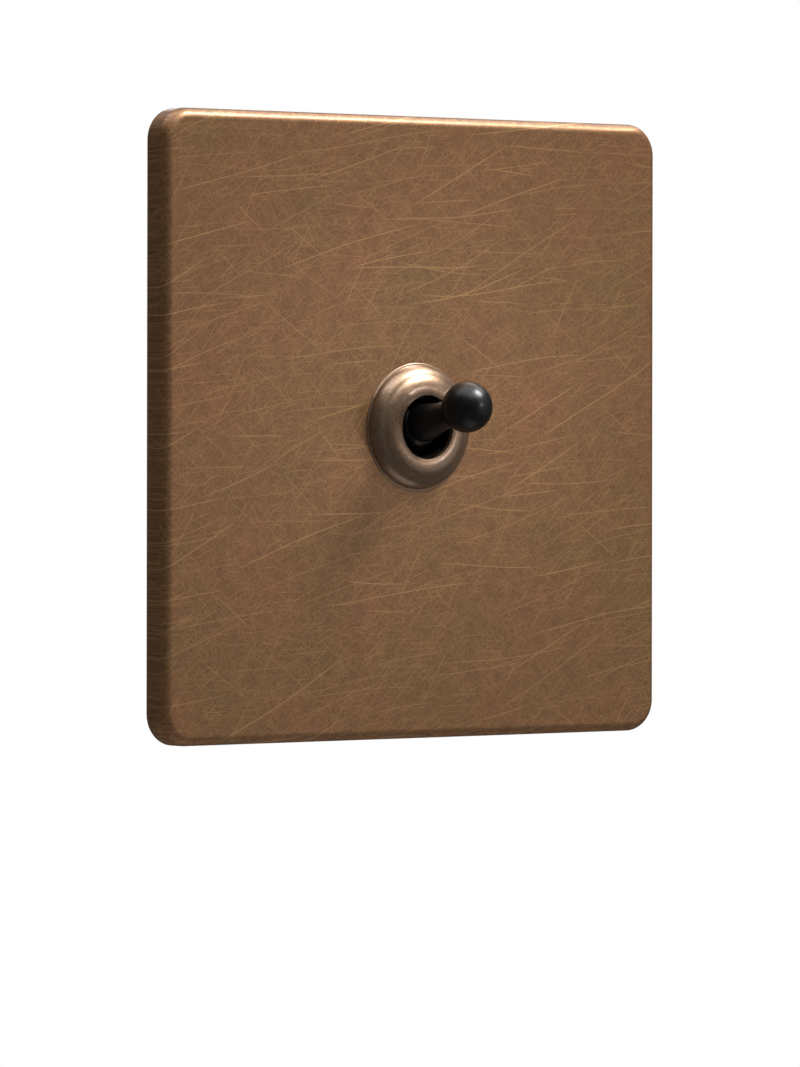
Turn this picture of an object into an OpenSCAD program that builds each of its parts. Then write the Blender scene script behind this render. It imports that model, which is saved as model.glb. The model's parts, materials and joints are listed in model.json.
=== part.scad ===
// Toggle wall switch: a metal front plate held by a domed collar on a threaded bush, with a ball-ended
// lever, a see-saw changeover mechanism, a steel yoke, and clamp terminals behind it.
// Each sub-part is drawn lying on its back: X to the right, Y up the wall, Z out into the room,
// with z = 0 on the wall. on_wall() then stands the whole thing up, front face towards -Y.

/* [Front plate] */
// Width and height of the square front plate
plate_size = 86; // [84:0.5:90]
// How far the front face stands off the wall
plate_depth = 4; // [3.8:0.1:5]
// Radius of the plate's corners, seen from the front
plate_corner = 4.4; // [4:0.1:8]
// Radius that softens the front edge
plate_edge = 1.5; // [0.8:0.1:1.6]
// Thickness of the plate's face and rim
plate_skin = 1.5; // [1.2:0.1:1.6]

/* [Collar] */
// Diameter of the collar's dome where it meets its flange
collar_d = 17.2; // [17:0.1:18]
// How far the collar's crest stands off the plate
collar_rise = 2.45; // [2.3:0.05:2.7]
// Diameter of the hole that the lever moves in
collar_hole_d = 8.66; // [8.4:0.02:9]

/* [Lever] */
// Diameter of the ball at the lever's tip
ball_d = 7.07; // [6:0.01:8]
// Distance from the pivot to the centre of the tip ball
lever_reach = 12.4; // [12:0.1:16]
// Diameter of the neck where it meets the tip ball
neck_d = 3.66; // [3:0.02:4.4]
// Diameter of the flared skirt at the neck's root
skirt_d = 5.5; // [5.3:0.1:6]
// Diameter of the ball that turns on the cross pin
pivot_ball_d = 6.9; // [6.7:0.1:7.2]
// Tilt of the lever each side of centre, in degrees
lever_tilt = 13; // [13:1:13]

/* [Mechanism] */
// Width of the switch case
case_w = 30; // [30:1:34]
// Height of the switch case
case_h = 46; // [46:1:50]
// Tilt of the contact rocker each side of centre, in degrees
rocker_tilt = 8; // [8:1:8]
// Distance from the rocker's edge bearing to each contact
contact_reach = 10; // [9.5:0.1:10.5]
// Radius of a terminal's wire tunnel
tunnel_r = 1.7; // [1.5:0.1:1.8]
// Travel of a terminal's clamp screw from open to clamped
clamp_travel = 2.6; // [2:0.1:2.8]

/* [Fixings] */
// Distance between the two box screws
fixing_pitch = 60.3; // [60.3:0.1:60.3]
// Radius of the box screws' thread
fixing_r = 1.75; // [1.75:0.05:2]
// Length of the box screws below the head's top
fixing_length = 15; // [12:1:35]

/* [Hidden] */
$fn = 96;
gap = 0.05;        // running clearance
through = 0.5;     // how far a cutter runs past the face it opens

// Front plate and what it clears
rim_inner = plate_size - 2 * plate_skin;
face_back = plate_depth - plate_skin;
plate_hole_r = 7.4;
flange_r = collar_d / 2 + 0.3;
flange_t = 0.13;

// Bush and its nut stack
bush_r = 5.95;
bush_top = plate_depth + 1.3;
bush_bore_r = 4.05;
bush_rear_bore_r = 4.8;
bush_flange = [16, 22, 1.2];
thread_pitch = 1;
thread_depth = 0.35;
pin_r = 0.8;
pin_length = 11.4;
ring_t = 0.5;
nut_across_flats = 15;
nut_t = 2.4;

// Yoke: a thin rim with a well that carries the case
yoke_size = rim_inner - 0.6;
yoke_corner = 3;
yoke_t = 1.2;
gasket_t = 0.8;
gasket_window = 70;
gasket_gap = 0.6;
yoke_top = gasket_t + yoke_t;
well_outer = [36, 54];
well_floor = -4;
well_inner = well_outer - [2 * yoke_t, 2 * yoke_t];
well_corner = 3;
key_slot = [2.4, 1.6];
key_at = 8.6;

// Lever, measured along its own axis from the pivot
pivot_z = plate_depth - 1.1;
arm_r = 2.3;
arm_end = 9.5;
arm_bore_r = 1.55;
arm_bore_top = 2.2;
skirt_at = 2.1;
skirt_edge = 0.35;
neck_pull = 3;     // how quickly the skirt's flare dies away into the neck
plunger_r = 1.5;
plunger_tip_r = 1.2;
plunger_tip_at = 11.5;
plunger_top = 5.6;
spring_r = 1.1;
spring_wire_r = 0.18;
spring_turns = 5;

// Rocker, measured from its edge bearing
rocker_axis_z = pivot_z - 14.05;
rocker_w = 5;
rocker_t = 1;
rocker_rise = 0.6;
trough_slope = 28;
trough_reach = 4.2;
rocker_reach = contact_reach + 1.6;
bead_r = 0.3;
blade_half_t = 0.2;
groove_slope = 60; // half the angle that the rocker's groove opens to
contact_r = 1.5;
contact_shank_r = 0.75;
contact_drop = 1.3;
rocker_top = rocker_rise + trough_reach * tan(trough_slope);
rocker_under = rocker_top - rocker_t;

// Contact strips and terminal blocks
strip_t = 0.8;
strip_w = 5;
strip_top = rocker_axis_z - contact_reach * sin(rocker_tilt)
    + (rocker_under - contact_drop) * cos(rocker_tilt) - gap - 1.2;
floor_z = strip_top - strip_t;
block = [6.4, 6.4, 8];
block_at = 17.2;
common_at = [10.4, 6.5];
tunnel_z = floor_z - 3;
clamp_r = 1.5;
clamp_head_r = 2.3;
clamp_head_t = 1.5;
slot_w = 0.7;
earth_at = [-24, -29];
earth_top = gasket_t;
earth_tunnel_z = earth_top - 3.4;
earth_block = [7, 7, 8];
earth_spigot_r = 1.2;

// Case shells
case_top = well_floor;
case_split = strip_top + gap;
case_back = floor_z - block[2] - 2.4;
case_corner = 2.5;
chamber = [9, 26.4];
chamber_top = case_top - 2.4;
chamber_wall = 0.3;
entry_r = tunnel_r + 0.4;
rivet_at = [case_w / 2 - 3.5, case_h / 2 - 3.5];
rivet_r = 1.2;
rivet_head_r = 2;
rivet_head_t = 0.6;

// Box screws
screw_head_r = 3.45;
screw_neck_r = 1.6;
screw_neck_z = 0.1;
screw_boss_r = 4.6;
screw_boss_z = 0.2;
screw_cone_z = 0.4;

brass_aged = [0.47, 0.35, 0.26];
brass_bright = [0.78, 0.62, 0.32];
zinc = [0.72, 0.73, 0.74];
satin_black = [0.05, 0.05, 0.055];
moulding_black = [0.09, 0.09, 0.1];
moulding_grey = [0.62, 0.62, 0.6];

function polar(r, a) = [r * cos(a), r * sin(a)];
function arc(centre, r, from, to, steps = 16) =
    [for (i = [0:steps]) centre + polar(r, from + (to - from) * i / steps)];
function ramp(from, to, steps) = [for (i = [0:steps]) from + (to - from) * i / steps];

// Stands a part drawn on its back up against the wall
module on_wall() rotate([90, 0, 0]) children();

// Extrudes an outline drawn in the plane of Y and Z along X
module across(width) rotate([90, 0, 90]) linear_extrude(width, center = true) children();

module slab(size, corner, height) {
    linear_extrude(height) {
        square([size[0] - 2 * corner, size[1]], center = true);
        square([size[0], size[1] - 2 * corner], center = true);
        for (x = [-1, 1], y = [-1, 1])
            translate([x * (size[0] / 2 - corner), y * (size[1] / 2 - corner)]) circle(corner);
    }
}

module brick(size, base) translate([-size[0] / 2, -size[1] / 2, base]) cube(size);

module at_fixings() for (x = [-1, 1]) translate([x * fixing_pitch / 2, 0, 0]) children();

module at_rivets() for (x = [-1, 1], y = [-1, 1])
    translate([x * rivet_at[0], y * rivet_at[1], 0]) children();

module on_lever_axis() translate([0, 0, pivot_z]) rotate([-lever_tilt, 0, 0]) children();

module on_rocker_axis() translate([0, 0, rocker_axis_z]) rotate([rocker_tilt, 0, 0]) children();

// ---- Front ----

module plate_corner_post() {
    rotate_extrude($fn = 64) polygon(concat(
        [[0, 0], [plate_corner, 0]],
        arc([plate_corner - plate_edge, plate_depth - plate_edge], plate_edge, 0, 90, 10),
        [[0, plate_depth]]
    ));
}

module front_plate() {
    color(brass_aged) difference() {
        hull() for (x = [-1, 1], y = [-1, 1])
            translate([x, y, 0] * (plate_size / 2 - plate_corner)) plate_corner_post();
        translate([0, 0, -through])
            slab([rim_inner, rim_inner], plate_corner - plate_skin, face_back + through);
        cylinder(r = plate_hole_r, h = plate_depth + through);
    }
}

// The collar's section: a thin flange, a steep shoulder, a cove, then a broad crest round the hole
module collar_section() {
    hole_r = collar_hole_d / 2;
    skirt_r = plate_hole_r - 0.1;
    crest = [hole_r + 0.87, plate_depth + collar_rise];
    crest_inner_r = 2.4;
    crest_outer_r = 1.4;
    shoulder_r = 1.5;
    shoulder = [collar_d / 2 - shoulder_r, plate_depth + 0.07];
    drop = crest[1] - shoulder[1] - shoulder_r;
    reach = shoulder[0] - crest[0];
    both_r = (reach * reach + drop * drop) / (2 * drop); // crest and cove together, for a smooth run
    cove_r = both_r - crest_outer_r;
    turn = acos(reach / both_r);
    polygon(concat(
        [[bush_r + gap, face_back + 0.1], [skirt_r, face_back + 0.1], [skirt_r, plate_depth]],
        arc([flange_r - flange_t, plate_depth], flange_t, 0, 90, 6),
        arc(shoulder, shoulder_r, 3, 90, 16),
        arc(shoulder + [0, shoulder_r + cove_r], cove_r, 268, 180 + turn, 8),
        arc(crest - [0, crest_outer_r], crest_outer_r, turn - 2, 90, 12),
        arc(crest - [0, crest_inner_r], crest_inner_r, 92, acos((hole_r - crest[0]) / crest_inner_r), 6),
        [[hole_r, bush_top + 0.25], [bush_r + gap, bush_top + 0.25]]
    ));
}

module collar() color(brass_aged) rotate_extrude() collar_section();

// ---- Bush and its fixings ----

module bush_section() {
    thread_from = well_floor + yoke_t + ring_t;
    threads = floor((bush_top - thread_from - 0.4) / thread_pitch);
    polygon(concat(
        [[bush_bore_r, bush_top], [bush_bore_r, 0],
         [bush_rear_bore_r, well_floor - bush_flange[2]], [bush_r, well_floor - bush_flange[2]]],
        [for (i = [0:threads - 1], p = [[0, 0], [-thread_depth, 0.5], [0, 1]])
            [bush_r + p[0], thread_from + (i + p[1]) * thread_pitch]],
        [[bush_r, bush_top - 0.3], [bush_r - 0.3, bush_top]]
    ));
}

module threaded_bush() {
    color(satin_black) difference() {
        union() {
            rotate_extrude() bush_section();
            difference() {
                brick(bush_flange, well_floor - bush_flange[2]);
                translate([0, 0, well_floor - 2 * bush_flange[2]])
                    cylinder(r = bush_r - 0.2, h = 3 * bush_flange[2]);
            }
        }
        translate([0, 0, pivot_z]) rotate([0, 90, 0]) cylinder(r = pin_r, h = 14, center = true);
    }
}

module pivot_pin() {
    color(zinc) translate([0, 0, pivot_z]) rotate([0, 90, 0])
        cylinder(r = pin_r, h = pin_length, center = true);
}

module locating_ring() {
    base = well_floor + yoke_t;
    color(zinc) difference() {
        union() {
            translate([0, 0, base]) cylinder(r = 8, h = ring_t);
            brick([key_slot[0] - 0.3, 2 * (key_at + key_slot[1] / 2 - 0.15), ring_t], base);
            for (y = [-1, 1]) translate([0, y * key_at, 0])
                brick([key_slot[0] - 0.3, key_slot[1] - 0.3, yoke_t], well_floor);
        }
        translate([0, 0, base - through]) cylinder(r = bush_r + gap, h = 2);
    }
}

module lock_washer() {
    teeth = 10;
    base = well_floor + yoke_t + ring_t;
    color(zinc) translate([0, 0, base]) linear_extrude(ring_t) difference() {
        circle(8);
        circle(6.6);
    }
    color(zinc) translate([0, 0, base]) for (i = [1:teeth])
        rotate([0, 0, i * 360 / teeth]) translate([6.05, -0.6, 0]) cube([0.8, 1.2, ring_t]);
}

module bush_nut() {
    corner_r = nut_across_flats / 2 / cos(30);
    base = well_floor + yoke_t + 2 * ring_t;
    color(zinc) translate([0, 0, base]) difference() {
        intersection() {
            cylinder(r = corner_r, h = nut_t, $fn = 6);
            cylinder(r1 = nut_across_flats / 2 + 2.6, r2 = nut_across_flats / 2, h = nut_t + 0.2);
        }
        translate([0, 0, -through]) cylinder(r = bush_r + gap, h = nut_t + 2 * through);
    }
}

// ---- Yoke, gasket and box screws ----

module yoke() {
    color(zinc) difference() {
        union() {
            translate([0, 0, gasket_t]) slab([yoke_size, yoke_size], yoke_corner, yoke_t);
            translate([0, 0, well_floor]) slab(well_outer, well_corner, yoke_top - well_floor);
            at_fixings() translate([0, 0, screw_boss_z])
                cylinder(r = screw_boss_r, h = yoke_top - screw_boss_z);
        }
        translate([0, 0, well_floor + yoke_t])
            slab(well_inner, well_corner - yoke_t, yoke_top - well_floor);
        translate([0, 0, well_floor - through]) cylinder(r = bush_r + 0.15, h = 3);
        for (y = [-1, 1]) translate([0, y * key_at, 0])
            brick([key_slot[0], key_slot[1], 3], well_floor - through);
        translate([earth_at[0], earth_at[1], 0]) cylinder(r = earth_spigot_r + gap, h = 3);
        at_fixings() {
            translate([0, 0, -1]) cylinder(r = fixing_r + 0.15, h = 4);
            translate([0, 0, screw_cone_z])
                cylinder(r1 = fixing_r + 0.15, r2 = screw_head_r + 0.15, h = yoke_top - screw_cone_z);
            translate([0, 0, yoke_top - 0.001]) cylinder(r = screw_head_r + 0.15, h = through);
        }
    }
}

// Four foam strips under the yoke's edges, butted with a hairline gap at the corners
module wall_gasket() {
    strip_w = (yoke_size - gasket_window) / 2;
    strip_at = (gasket_window + strip_w) / 2;
    color(moulding_black) for (side = [-1, 1]) {
        translate([0, side * strip_at, 0])
            brick([yoke_size - 2 * yoke_corner, strip_w, gasket_t - 0.02], 0);
        translate([side * strip_at, 0, 0])
            brick([strip_w, gasket_window - gasket_gap, gasket_t - 0.02], 0);
    }
}

module box_screws() {
    tip = yoke_top - fixing_length;
    color(zinc) at_fixings() difference() {
        rotate_extrude() polygon([
            [0, tip], [fixing_r - 0.6, tip], [fixing_r, tip + 0.8], [fixing_r, screw_neck_z],
            [screw_neck_r, screw_neck_z], [screw_neck_r, screw_cone_z + 0.1],
            [screw_head_r, yoke_top - 0.1], [screw_head_r, yoke_top], [0, yoke_top]
        ]);
        rotate([0, 0, 35]) brick([2 * screw_head_r + 1, 0.9, 2], yoke_top - 0.8);
    }
}

// ---- Case ----

module case_body(base, height) translate([0, 0, base]) slab([case_w, case_h], case_corner, height);

module case_front() {
    color(moulding_grey) difference() {
        case_body(case_split, case_top - case_split);
        brick([bush_flange[0] + 0.2, bush_flange[1] + 0.2, 3], case_top - bush_flange[2] - 0.02);
        brick([chamber[0], chamber[1], chamber_top - case_split + through], case_split - through);
        translate([0, 0, chamber_top - through])
            cylinder(r = bush_rear_bore_r + 0.2, h = case_top - chamber_top);
        at_rivets() {
            translate([0, 0, case_split - through]) cylinder(r = rivet_r + gap, h = 20);
            translate([0, 0, case_top - rivet_head_t - gap])
                cylinder(r = rivet_head_r + gap, h = 2);
        }
    }
}

// The hollow that one terminal block drops into, with its wire entry and screw access
module block_pocket(size, direction) {
    brick([size[0] + 0.1, size[1] + 0.1, block[2] + 0.1], floor_z - block[2] - 0.1);
    translate([0, 0, tunnel_z]) rotate(direction) cylinder(r = entry_r, h = 16);
    translate([0, 0, case_back - through]) cylinder(r = clamp_head_r + 0.3, h = 6);
}

module case_rear() {
    strip_room = strip_w + 0.3;
    color(moulding_black) difference() {
        case_body(case_back, case_split - case_back);
        brick([chamber[0], chamber[1], 3], floor_z);
        brick([strip_room, 2 * (block_at + block[1] / 2) + 0.3, 3], floor_z);
        translate([0, -strip_room / 2, floor_z])
            cube([common_at[0] + block[0] / 2 + 0.15, strip_room, 3]);
        translate([common_at[0], 0, 0]) translate([-block[0] / 2 - 0.15, -strip_room / 2, floor_z])
            cube([block[0] + 0.3, common_at[1] + block[1] / 2 + strip_room / 2 + 0.15, 3]);
        translate([0, -block_at, 0]) block_pocket(block, [90, 0, 0]);
        translate([0, block_at, 0]) block_pocket(block, [-90, 0, 0]);
        translate([common_at[0], common_at[1], 0]) block_pocket(block, [0, 90, 0]);
        at_rivets() translate([0, 0, case_back - through]) {
            cylinder(r = rivet_r + gap, h = 20);
            cylinder(r = rivet_head_r + gap, h = rivet_head_t + through);
        }
    }
}

module case_rivets() {
    color(brass_bright) at_rivets() difference() {
        rotate_extrude($fn = 48) polygon([
            [0, case_back], [rivet_head_r, case_back], [rivet_head_r, case_back + rivet_head_t - gap],
            [rivet_r, case_back + rivet_head_t - gap], [rivet_r, case_top - rivet_head_t],
            [rivet_head_r, case_top - rivet_head_t], [rivet_head_r, case_top - gap],
            [0, case_top - gap]
        ]);
        translate([0, 0, case_back - through]) cylinder(r = 0.7, h = 3);
    }
}

module arc_shields() {
    height = chamber_top - case_split - 0.1;
    color([0.75, 0.7, 0.6]) for (x = [-1, 1])
        translate([x * (chamber[0] / 2 - chamber_wall), 0, 0])
            brick([chamber_wall, chamber[1] - 0.2, height], case_split + 0.05);
}

// ---- Fixed contacts and terminals ----

module strip(from, to, width) {
    translate([-width / 2, from, floor_z]) cube([width, to - from, strip_t]);
}

module contact_seat(y) {
    translate([0, y, floor_z - through]) cylinder(r = contact_shank_r + gap, h = 2, $fn = 48);
}

module end_strip(side) {
    color(brass_bright) difference() {
        strip(min(side * (contact_reach - 2.4), side * (block_at + block[1] / 2)),
              max(side * (contact_reach - 2.4), side * (block_at + block[1] / 2)), strip_w);
        contact_seat(side * contact_reach);
    }
}

module lower_strip() end_strip(-1);

module upper_strip() end_strip(1);

// The common strip carries the beaded blade that the rocker balances on, and turns to its own terminal
module common_strip() {
    blade_foot = rocker_axis_z - 0.3;
    foot = blade_half_t + (blade_foot - strip_top) * tan(25);
    color(brass_bright) union() {
        translate([-rocker_w / 2, -strip_w / 2, floor_z])
            cube([rocker_w / 2 + common_at[0] + block[0] / 2, strip_w, strip_t]);
        translate([common_at[0] - block[0] / 2, 0, floor_z])
            cube([block[0], common_at[1] + block[1] / 2, strip_t]);
        across(rocker_w - 0.4) {
            translate([0, rocker_axis_z]) circle(bead_r, $fn = 48);
            polygon([
                [-foot, strip_top - 0.2], [foot, strip_top - 0.2], [foot, strip_top],
                [blade_half_t, blade_foot], [blade_half_t, rocker_axis_z],
                [-blade_half_t, rocker_axis_z], [-blade_half_t, blade_foot], [-foot, strip_top]
            ]);
        }
    }
}

module fixed_contacts() {
    color(zinc) for (y = [-contact_reach, contact_reach]) translate([0, y, 0]) {
        translate([0, 0, floor_z]) cylinder(r = contact_shank_r, h = strip_t, $fn = 48);
        translate([0, 0, strip_top]) cylinder(r = contact_r, h = 0.8, $fn = 48);
        translate([0, 0, strip_top + 0.8]) cylinder(r1 = contact_r, r2 = contact_r - 0.7, h = 0.35, $fn = 48);
    }
}

module terminal_block(direction) {
    difference() {
        brick(block, floor_z - block[2]);
        translate([0, 0, tunnel_z]) rotate(direction)
            cylinder(r = tunnel_r, h = block[0] + 2 * through, center = true);
        translate([0, 0, floor_z - block[2] - through])
            cylinder(r = clamp_r + gap, h = tunnel_z - floor_z + block[2] + through);
    }
}

module terminal_lower() color(brass_bright) translate([0, -block_at, 0]) terminal_block([90, 0, 0]);

module terminal_upper() color(brass_bright) translate([0, block_at, 0]) terminal_block([90, 0, 0]);

module terminal_common() {
    color(brass_bright) translate([common_at[0], common_at[1], 0]) terminal_block([0, 90, 0]);
}

// The earth terminal is riveted to the yoke by its own spigot
module terminal_earth() {
    base = earth_top - earth_block[2];
    color(brass_bright) translate([earth_at[0], earth_at[1], 0]) {
        difference() {
            brick(earth_block, base);
            translate([0, 0, earth_tunnel_z]) rotate([90, 0, 0])
                cylinder(r = tunnel_r, h = earth_block[1] + 2 * through, center = true);
            translate([0, 0, base - through])
                cylinder(r = clamp_r + gap, h = earth_tunnel_z - base + through);
        }
        translate([0, 0, earth_top]) cylinder(r = earth_spigot_r, h = yoke_t);
        translate([0, 0, yoke_top]) cylinder(r1 = earth_spigot_r + 0.8, r2 = earth_spigot_r, h = 0.35);
    }
}

// A clamp screw drawn with its tip just clear of the tunnel, which is its open position
module clamp_screw(tunnel, block_back) {
    tip = tunnel - tunnel_r - 0.1;
    under_head = block_back - clamp_travel - 0.1;
    difference() {
        union() {
            translate([0, 0, under_head]) cylinder(r = clamp_r, h = tip - under_head);
            translate([0, 0, under_head - clamp_head_t]) cylinder(r = clamp_head_r, h = clamp_head_t);
        }
        brick([2 * clamp_head_r + 1, slot_w, 2], under_head - clamp_head_t - 1.2);
    }
}

module clamp_screw_lower() {
    color(zinc) translate([0, -block_at, 0]) clamp_screw(tunnel_z, floor_z - block[2]);
}

module clamp_screw_upper() {
    color(zinc) translate([0, block_at, 0]) clamp_screw(tunnel_z, floor_z - block[2]);
}

module clamp_screw_common() {
    color(zinc) translate([common_at[0], common_at[1], 0]) clamp_screw(tunnel_z, floor_z - block[2]);
}

module clamp_screw_earth() {
    color(brass_bright) translate([earth_at[0], earth_at[1], 0])
        clamp_screw(earth_tunnel_z, earth_top - earth_block[2]);
}

// ---- Lever, plunger and rocker ----

// How much of the skirt's flare is left at a distance up the neck
function flare_left(distance) = exp(-pow(distance / neck_pull, 1.8));

module lever_section() {
    tip_r = ball_d / 2;
    neck_r = neck_d / 2;
    skirt_r = skirt_d / 2;
    ball_r = pivot_ball_d / 2;
    ball_from = -acos(arm_r / ball_r);
    ball_to = asin((skirt_at - 0.15) / ball_r);
    neck_top = lever_reach - sqrt(tip_r * tip_r - neck_r * neck_r);
    flare_from = skirt_at + skirt_edge;
    flare = skirt_r - neck_r;
    fade = flare_left(neck_top - flare_from);
    polygon(concat(
        [[arm_bore_r, -arm_bore_top], [arm_bore_r, -arm_end], [arm_r - 0.2, -arm_end],
         [arm_r, -arm_end + 0.2]],
        arc([0, 0], ball_r, ball_from, ball_to, 20),
        arc([skirt_r - skirt_edge, skirt_at + skirt_edge], skirt_edge, -90, 0, 5),
        [for (s = ramp(flare_from, neck_top, 22))
            [neck_r + flare * (flare_left(s - flare_from) - fade) / (1 - fade), s]],
        arc([0, lever_reach], tip_r, -acos(neck_r / tip_r) + 0.01, 90, 30),
        [[0, -arm_bore_top]]
    ));
}

module toggle_lever() {
    color(satin_black) on_lever_axis() difference() {
        rotate_extrude() lever_section();
        rotate([0, 90, 0]) cylinder(r = pin_r + gap, h = 10, center = true);
    }
}

module plunger() {
    color([0.9, 0.88, 0.8]) on_lever_axis() rotate_extrude($fn = 64) polygon(concat(
        [[0, -plunger_top], [0, -plunger_tip_at - plunger_tip_r]],
        arc([0, -plunger_tip_at], plunger_tip_r, -86, 0, 12),
        [[plunger_r, -plunger_tip_at + 1.3], [plunger_r, -plunger_top - 0.2],
         [plunger_r - 0.2, -plunger_top]]
    ));
}

module plunger_spring() {
    per_turn = 16;
    sides = 6;
    rings = spring_turns * per_turn;
    from = -plunger_top + spring_wire_r + 0.02;
    to = -arm_bore_top - spring_wire_r - 0.02;
    points = [for (i = [0:rings], k = [0:sides - 1])
        let (turn = 360 * i / per_turn, round = 360 * k / sides,
             reach = spring_r + spring_wire_r * cos(round))
        [reach * cos(turn), reach * sin(turn),
         from + (to - from) * i / rings + spring_wire_r * sin(round)]];
    walls = [for (i = [0:rings - 1], k = [0:sides - 1])
        let (a = i * sides + k, b = i * sides + (k + 1) % sides) [a, a + sides, b + sides, b]];
    ends = [[for (k = [0:sides - 1]) k], [for (k = [sides - 1:-1:0]) rings * sides + k]];
    color(zinc) on_lever_axis() polyhedron(points, concat(walls, ends));
}

// Half of the rocker's outline: a steep trough for the plunger, then a level arm
rocker_root = rocker_rise - rocker_t / cos(trough_slope);
rocker_half = [
    [(rocker_under - rocker_root) / tan(trough_slope), rocker_under],
    [rocker_reach, rocker_under], [rocker_reach, rocker_top], [trough_reach, rocker_top]
];

module rocker_arm() {
    mirrored = [for (i = [len(rocker_half) - 1:-1:0]) [-rocker_half[i][0], rocker_half[i][1]]];
    color(brass_bright) on_rocker_axis() difference() {
        across(rocker_w) polygon(concat([[0, rocker_root]], rocker_half, [[0, rocker_rise]], mirrored));
        across(rocker_w + 1) {
            circle(bead_r + gap, $fn = 48);
            polygon([[0, 0], [tan(groove_slope), -1], [-tan(groove_slope), -1]]);
        }
        for (y = [-1, 1]) translate([0, y * contact_reach, 0])
            cylinder(r = contact_shank_r + gap, h = 4, $fn = 48);
    }
}

module rocker_contacts() {
    color(zinc) on_rocker_axis() for (y = [-1, 1]) translate([0, y * contact_reach, 0]) {
        translate([0, 0, rocker_under - contact_drop])
            cylinder(r1 = contact_r - 0.6, r2 = contact_r, h = 0.4, $fn = 48);
        translate([0, 0, rocker_under - contact_drop + 0.4])
            cylinder(r = contact_r, h = contact_drop - 0.4, $fn = 48);
        translate([0, 0, rocker_under]) cylinder(r = contact_shank_r, h = rocker_t, $fn = 48);
        translate([0, 0, rocker_top]) cylinder(r1 = 1.2, r2 = 0.8, h = 0.25, $fn = 48);
    }
}

on_wall() {
    front_plate();
    collar();
    threaded_bush();
    pivot_pin();
    bush_nut();
    lock_washer();
    locating_ring();
    yoke();
    wall_gasket();
    box_screws();
    case_front();
    case_rear();
    case_rivets();
    arc_shields();
    common_strip();
    lower_strip();
    upper_strip();
    fixed_contacts();
    terminal_common();
    terminal_lower();
    terminal_upper();
    terminal_earth();
    toggle_lever();
    plunger();
    plunger_spring();
    rocker_arm();
    rocker_contacts();
    clamp_screw_common();
    clamp_screw_lower();
    clamp_screw_upper();
    clamp_screw_earth();
}
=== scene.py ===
import json
import math
import bpy
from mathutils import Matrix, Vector


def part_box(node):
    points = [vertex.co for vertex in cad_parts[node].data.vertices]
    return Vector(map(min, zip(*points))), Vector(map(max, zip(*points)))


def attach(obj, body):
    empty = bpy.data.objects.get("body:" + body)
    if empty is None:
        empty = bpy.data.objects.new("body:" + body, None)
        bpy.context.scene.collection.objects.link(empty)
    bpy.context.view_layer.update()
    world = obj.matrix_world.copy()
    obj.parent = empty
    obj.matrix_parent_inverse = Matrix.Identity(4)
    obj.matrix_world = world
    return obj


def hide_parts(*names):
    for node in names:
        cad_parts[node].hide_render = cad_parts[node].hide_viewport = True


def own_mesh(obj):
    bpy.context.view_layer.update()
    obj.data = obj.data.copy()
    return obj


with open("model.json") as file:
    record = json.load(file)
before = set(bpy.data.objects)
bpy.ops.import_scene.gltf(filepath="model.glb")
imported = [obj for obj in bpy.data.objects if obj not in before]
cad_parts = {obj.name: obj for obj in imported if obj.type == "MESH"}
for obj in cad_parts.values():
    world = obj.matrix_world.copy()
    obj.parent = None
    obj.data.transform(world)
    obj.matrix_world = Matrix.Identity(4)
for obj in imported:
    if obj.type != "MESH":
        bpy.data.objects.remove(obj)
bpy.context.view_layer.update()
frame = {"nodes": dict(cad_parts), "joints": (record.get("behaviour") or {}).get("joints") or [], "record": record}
nodes = frame["nodes"]
record = frame["record"]
bodyOf = {node: body for body, members in record["behaviour"]["bodies"].items() for node in members}
slotOf = {part["node"]: part["material_slot"] for part in record["subparts"]}
joints = {joint["name"]: joint for joint in frame["joints"]}
mm = 0.001
weld = 1e-6                    # points closer than this many metres become one
fineWeld = 1e-7
outward = Vector((0, -1, 0))   # away from the wall
print("frame loaded:", len(nodes), "nodes")

# ---- modelling helpers ----


def clearSelection():
    if bpy.context.object and bpy.context.object.mode != "OBJECT":
        bpy.ops.object.mode_set(mode="OBJECT")
    bpy.ops.object.select_all(action="DESELECT")


def workOn(obj):
    clearSelection()
    obj.select_set(True)
    bpy.context.view_layer.objects.active = obj


def pick(obj, kind, test):
    # leaves the piece in edit mode with only the wanted elements selected
    workOn(obj)
    bpy.ops.object.mode_set(mode="EDIT")
    bpy.ops.mesh.select_mode(type=kind)
    bpy.ops.mesh.select_all(action="DESELECT")
    bpy.ops.object.mode_set(mode="OBJECT")
    elements = {"VERT": obj.data.vertices, "EDGE": obj.data.edges, "FACE": obj.data.polygons}[kind]
    for element in elements:
        element.select = test(element)
    bpy.ops.object.mode_set(mode="EDIT")


def ends(obj, edge):
    return [obj.data.vertices[i].co.copy() for i in edge.vertices]


def applied(obj, kind, **settings):
    workOn(obj)
    bpy.ops.object.modifier_add(type=kind)
    modifier = obj.modifiers[-1]
    for name, value in settings.items():
        setattr(modifier, name, value)
    bpy.ops.object.modifier_apply(modifier=modifier.name)


def combine(obj, other, how):
    applied(obj, "BOOLEAN", operation=how, object=other, solver="EXACT")
    bpy.data.objects.remove(other)


def settle(obj):
    # puts the place, turn and scale into the mesh
    workOn(obj)
    bpy.ops.object.transform_apply(location=True, rotation=True, scale=True)


def tidyFaces(obj, reach=weld, fill=False):
    # merges doubled points, closes open ends where asked, and turns all faces outwards
    workOn(obj)
    bpy.ops.object.mode_set(mode="EDIT")
    bpy.ops.mesh.select_all(action="SELECT")
    bpy.ops.mesh.remove_doubles(threshold=reach)
    if fill:
        bpy.ops.mesh.fill_holes(sides=0)
        bpy.ops.mesh.select_all(action="SELECT")
    bpy.ops.mesh.normals_make_consistent(inside=False)
    bpy.ops.object.mode_set(mode="OBJECT")


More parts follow.
